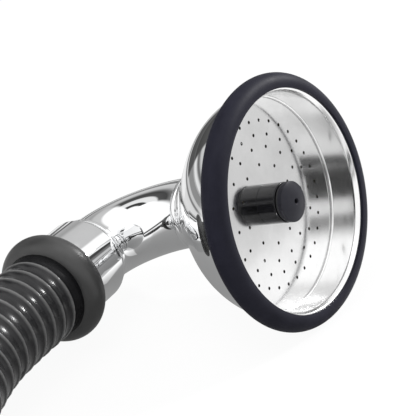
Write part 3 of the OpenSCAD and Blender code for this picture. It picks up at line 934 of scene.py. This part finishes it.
@dataclass
class CentralJet:
    """Black post, its seal and the domed cap with the jet hole."""

    radius: float = 6.5
    plate: float = -7.8
    post_top: float = -0.9
    cap: float = 0.1
    rim: float = 1.6
    dome: float = 1.4
    jet: float = 0.8
    stem: float = 3.5
    stem_end: float = -4.3
    socket: float = 3.55
    web: Vector3 = (1.0, -4.6, -5.4)
    stud: float = 3.0
    chamber: float = 2.3
    chamber_top: float = 1.3
    chamber_end: float = -3.5
    seal: Vector3 = (5.7, -0.35, 0.45)

    def post_outline(self) -> np.ndarray:
        """Returns the post's outline, with its socket and web."""
        port, high, low = self.web
        return Outline().corners(
            (self.radius, self.plate, 0.15), (self.radius, self.post_top, 0.35),
            (self.socket, self.post_top, 0.1), (self.socket, high), (port, high), (port, low),
            (self.stud, low), (self.stud, self.plate)).loop()

    def cap_outline(self) -> np.ndarray:
        """Returns the cap's outline: rim, dome, jet hole, chamber and stem."""
        ball = (self.radius ** 2 + self.dome ** 2) / (2 * self.dome)
        middle = self.cap + self.rim + self.dome - ball
        shape = Outline().corners((self.stem, self.cap), (self.radius, self.cap, 0.35),
                                  (self.radius, self.cap + self.rim, 0.45))
        edge = math.degrees(math.asin((self.radius - 0.6) / ball))
        hole = math.degrees(math.asin((self.jet + 0.25) / ball))
        shape.arc(0.0, middle, ball, 90.0 - edge, 90.0 - hole, 24)
        return shape.corners(
            (self.jet, self.cap + self.rim + self.dome - 0.25, 0.1), (self.jet, self.chamber_top),
            (self.chamber, self.chamber_top), (self.chamber, self.chamber_end),
            (self.web[0], self.chamber_end), (self.web[0], self.stem_end),
            (self.stem, self.stem_end)).loop()

    def build(self, shop: Workshop) -> None:
        """Makes and dresses the jet's pieces.

        Args:
            shop: Where materials come from.
        """
        shop.settle(revolved(self.post_outline(), HEAD_AXIS, 96).piece("jet_post_body"),
                    Surface.POST, "head", "jet_post")
        shop.settle(revolved(self.cap_outline(), HEAD_AXIS, 96).piece("jet_cap_dome"),
                    Surface.CAP, "jet_cap", "jet_cap")
        seal = Outline().arc(*self.seal, 0.0, 345.0, 23).loop()
        shop.settle(revolved(seal, HEAD_AXIS, 96).piece("cap_seal_ring"),
                    Surface.SEAL, "jet_cap", "cap_seal")


# ---------------- studio


@dataclass(frozen=True)
class SoftBox:
    """A plain rectangular lamp that looks at the sprayer."""

    name: str
    place: Vector3
    size: tuple[float, float]
    power: float
    mirrored: bool = False

    def build(self) -> None:
        """Makes the lamp."""
        data = bpy.data.lights.new(self.name, "AREA")
        data.shape = "RECTANGLE"
        data.size, data.size_y = self.size
        data.energy = self.power
        lamp = bpy.data.objects.new(self.name, data)
        back = np.array(self.place) / np.linalg.norm(self.place)
        side = np.cross((0.0, 0.0, 1.0), back)
        side /= np.linalg.norm(side)
        turn = np.stack([side, np.cross(back, side), back], axis=1)
        lamp.matrix_world = Matrix.Translation(self.place) @ Matrix(turn.tolist()).to_4x4()
        lamp.visible_glossy = self.mirrored
        bpy.context.scene.collection.objects.link(lamp)


@dataclass(frozen=True)
class Panel:
    """A sector of the surroundings: its bearing and half width in degrees, bands and rings.

    The bands give the grey level at the sine of each height above the horizon, and the rings
    give the painted tone that the floor shows in mirrors at each distance, as a share of the
    studio's floor_reach. A deep sector shows only in a mirror that is itself mirrored.
    """

    bearing: float
    half_width: float
    edge: float
    bands: Ramp = ()
    rings: Ramp = ()
    deep: bool = False

    def mask(self, tree: Tree, way: Socket) -> Socket:
        """Finds how far a direction lies in the sector, from the cosine of its bearing.

        Args:
            tree: The tree to add to.
            way: The direction.

        Returns:
            A value from 0 outside the sector to 1 inside.
        """
        turn = math.radians(self.bearing)
        ahead = tree.add("ShaderNodeVectorMath", {0: way, 1: (math.cos(turn), math.sin(turn), 0.0)},
                         operation="DOT_PRODUCT")
        flat = tree.add("ShaderNodeVectorMath", {0: way, 1: (1.0, 1.0, 0.0)}, operation="MULTIPLY")
        reach = tree.add("ShaderNodeVectorMath", {0: flat.outputs[0]}, operation="LENGTH")
        cosine = tree.add("ShaderNodeMath", {0: ahead.outputs["Value"], 1: reach.outputs["Value"]},
                          operation="DIVIDE")
        share = tree.add("ShaderNodeMapRange", {
            "Value": cosine.outputs[0],
            "From Min": math.cos(math.radians(self.half_width + self.edge)),
            "From Max": math.cos(math.radians(self.half_width))},
            interpolation_type="SMOOTHSTEP").outputs["Result"]
        if not self.deep:
            return share
        depth = tree.add("ShaderNodeLightPath").outputs["Glossy Depth"]
        second = tree.add("ShaderNodeMath", {0: depth, 1: SECOND_MIRROR},
                          operation="GREATER_THAN")
        return tree.add("ShaderNodeMath", {0: share, 1: second.outputs[0]},
                        operation="MULTIPLY").outputs[0]


# Tones that several sectors share: the painted shade of the floor close to the sprayer, seen in
# mirrors, and of the room overhead.
NEAR_FLOOR_SHADE: Ramp = ((0.0, 0.28), (0.1, 0.36), (0.18, 0.62))
HIGH: Ramp = ((0.78, 0.08), (0.81, 0.75), (0.91, 0.8), (0.925, 0.04), (0.965, 0.05), (0.975, 1.0))


@dataclass
class Studio:
    """Camera, floor, lamps and surroundings."""

    eye: Vector3 = (-0.3760977, -0.2674935, 0.2560565)
    right: Vector3 = (0.5609, -0.8272, -0.0332)
    up: Vector3 = (0.3758, 0.2187, 0.9005)
    back: Vector3 = (-0.7377, -0.5176, 0.4335)
    lens: float = 138.46
    sensor: float = 36.0
    clip: float = 0.01
    floor_size: float = 6.0
    floor_grey: float = 0.86
    floor_glow: float = 0.94
    floor_reach: float = 0.5
    shine: float = 1.18
    soft_grey: float = 0.9
    soft: float = 0.75
    lamps: tuple[SoftBox, ...] = (
        SoftBox("lamp_over", (-0.25, 0.15, 1.1), (0.7, 0.7), 5.0),
        SoftBox("lamp_left", (-0.9, 0.5, 0.5), (0.5, 0.6), 4.0),
        SoftBox("lamp_right", (0.74, -0.27, 0.55), (0.1, 0.1), 7.0, True))
    sky: Ramp = ((0.0, 0.97), (0.06, 0.85), (0.09, 0.06), (0.13, 0.06), (0.17, 1.0), (0.82, 1.0),
                 (0.9, 1.5))
    # The floor's tone in mirrors is painted: dark close to the sprayer as painted shade, pale
    # further off.
    ground: Ramp = (*NEAR_FLOOR_SHADE, (0.27, 0.97), (1.0, 0.97))
    # Sectors of the studio; the rings of a sector are painted tones on the floor, seen in mirrors.
    panels: tuple[Panel, ...] = (
        Panel(75.0, 38.0, 18.0, (
            (0.0, 0.4), (0.02, 0.75), (0.06, 0.7), (0.1, 0.18), (0.13, 0.14), (0.18, 0.55),
            (0.4, 0.6), (0.46, 0.22), (0.6, 0.16), (0.66, 0.06), *HIGH), (
            *NEAR_FLOOR_SHADE, (0.27, 0.8), (0.4, 0.75), (0.44, 0.22), (0.5, 0.25), (0.54, 0.65),
            (0.7, 0.65), (0.8, 0.3), (1.0, 0.3))),
        Panel(64.0, 14.0, 4.0, (
            (0.0, 0.12), (0.02, 0.06), (0.26, 0.09), (0.32, 0.6), (0.5, 0.5), (0.6, 0.16),
            (0.66, 0.05), *HIGH), (
            *NEAR_FLOOR_SHADE, (0.27, 0.95), (0.4, 0.9), (0.44, 0.22), (0.5, 0.25), (0.55, 0.7),
            (0.6, 0.6), (0.66, 0.09), (1.0, 0.1))),
        Panel(22.0, 24.0, 5.0, (
            (0.0, 0.9), (0.06, 0.8), (0.09, 0.06), (0.13, 0.06), (0.17, 0.4), (0.36, 0.32),
            (0.46, 0.5), (0.64, 0.54), (0.7, 1.0))),
        Panel(-98.0, 36.0, 14.0, rings=((0.0, 0.28), (0.12, 0.42), (0.2, 1.1), (1.0, 1.0))),
        Panel(-42.0, 20.0, 12.0, (
            (0.0, 0.74), (0.12, 0.74), (0.3, 0.9), (0.5, 1.0), (0.82, 1.0), (0.9, 1.5)), (
            (0.0, 0.5), (0.12, 1.25), (0.5, 1.3), (1.0, 0.8))),
        Panel(-147.0, 9.0, 5.0, (
            (0.0, 0.12), (0.05, 0.04), (0.41, 0.04), (0.48, 0.9), (0.62, 1.0), (0.68, 0.3),
            (0.77, 0.3), (0.84, 1.0), (0.9, 1.5)), deep=True))

    def camera(self) -> None:
        """Makes the camera."""
        data = bpy.data.cameras.new("camera")
        data.lens = self.lens
        data.sensor_width = self.sensor
        data.clip_start = self.clip
        made = bpy.data.objects.new("camera", data)
        read = np.stack([self.right, self.up, self.back], axis=1)
        turn, _ = np.linalg.qr(read)
        turn *= np.sign(np.einsum("ij,ij->j", turn, read))
        made.matrix_world = Matrix.Translation(self.eye) @ Matrix(turn.tolist()).to_4x4()
        bpy.context.scene.collection.objects.link(made)
        bpy.context.scene.camera = made

    def floor(self) -> None:
        """Makes the pale floor: white with a soft shadow, and in mirrors a painted glow, darker
        near the sprayer as painted shade.
        """
        half = self.floor_size / 2
        mesh = bpy.data.meshes.new("floor")
        mesh.from_pydata([(-half, -half, 0), (half, -half, 0), (half, half, 0), (-half, half, 0)],
                         [], [(0, 1, 2, 3)])
        made = bpy.data.objects.new("floor", mesh)
        bpy.context.scene.collection.objects.link(made)
        paint = bpy.data.materials.new("floor_white")
        paint.use_nodes = True
        paint.node_tree.nodes.clear()
        tree = Tree(paint.node_tree)
        path = tree.add("ShaderNodeLightPath")
        share = tree.add("ShaderNodeMath", {0: path.outputs["Is Camera Ray"], 1: self.floor_glow},
                         operation="MULTIPLY")
        plain = tree.add("ShaderNodeBsdfDiffuse", {"Color": grey(self.floor_grey)})
        glow = tree.add("ShaderNodeEmission", {"Color": grey(1.0), "Strength": 1.0})
        seen = tree.blend(share.outputs[0], plain, glow)
        # In mirrors the floor shows painted tones, not its lit colour: a glow that darkens towards
        # the sprayer as painted shade, with each sector's rings.
        place = tree.add("ShaderNodeTexCoord").outputs["Object"]
        away = tree.add("ShaderNodeVectorMath", {0: place}, operation="LENGTH")
        near = tree.add("ShaderNodeMapRange", {"Value": away.outputs["Value"], "From Min": 0.0,
                                               "From Max": self.floor_reach}).outputs["Result"]
        tone = tree.ramp(near, self.ground)
        for panel in filter(lambda panel: panel.rings, self.panels):
            tone = tree.mix(panel.mask(tree, place), tone, tree.ramp(near, panel.rings))
        sheen = tree.add("ShaderNodeEmission", {"Color": tone, "Strength": 1.0})
        mix = tree.blend(path.outputs["Is Glossy Ray"], seen, sheen)
        tree.add("ShaderNodeOutputMaterial", {"Surface": mix.outputs[0]})
        mesh.materials.append(paint)

    def surroundings(self) -> None:
        """Makes the world: white where it is seen, and a softly banded studio elsewhere."""
        world = bpy.data.worlds.new("studio")
        bpy.context.scene.world = world
        world.use_nodes = True
        world.node_tree.nodes.clear()
        tree = Tree(world.node_tree)
        way = tree.add("ShaderNodeTexCoord").outputs["Generated"]
        height = tree.add("ShaderNodeSeparateXYZ", {0: way}).outputs["Z"]
        bands = tree.ramp(height, self.sky)
        for panel in filter(lambda panel: panel.bands, self.panels):
            bands = tree.mix(panel.mask(tree, way), bands, tree.ramp(height, panel.bands))
        path = tree.add("ShaderNodeLightPath")
        shine = tree.add("ShaderNodeBackground", {"Color": bands, "Strength": self.shine})
        soft = tree.add("ShaderNodeBackground", {"Color": grey(self.soft_grey),
                                                 "Strength": self.soft})
        white = tree.add("ShaderNodeBackground", {"Color": grey(1.0), "Strength": 1.0})
        mirrored = tree.blend(path.outputs["Is Glossy Ray"], soft, shine)
        seen = tree.blend(path.outputs["Is Camera Ray"], mirrored, white)
        tree.add("ShaderNodeOutputWorld", {"Surface": seen.outputs[0]})

    def build(self) -> None:
        """Makes the floor, the surroundings and the lamps."""
        self.floor()
        self.surroundings()
        for lamp in self.lamps:
            lamp.build()


def main() -> None:
    """Builds the scene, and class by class."""
    logging.basicConfig(level=logging.INFO, format="%(message)s")
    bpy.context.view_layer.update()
    studio = Studio()
    studio.camera()
    shop = Workshop(frame["nodes"])
    for part in (SupplyHose(), Coupling(), BentTube(), SprayHead(), CentralJet()):
        part.build(shop)
    studio.build()
    bpy.context.scene.view_settings.view_transform = "Standard"


if __name__ == "__main__":
    main()
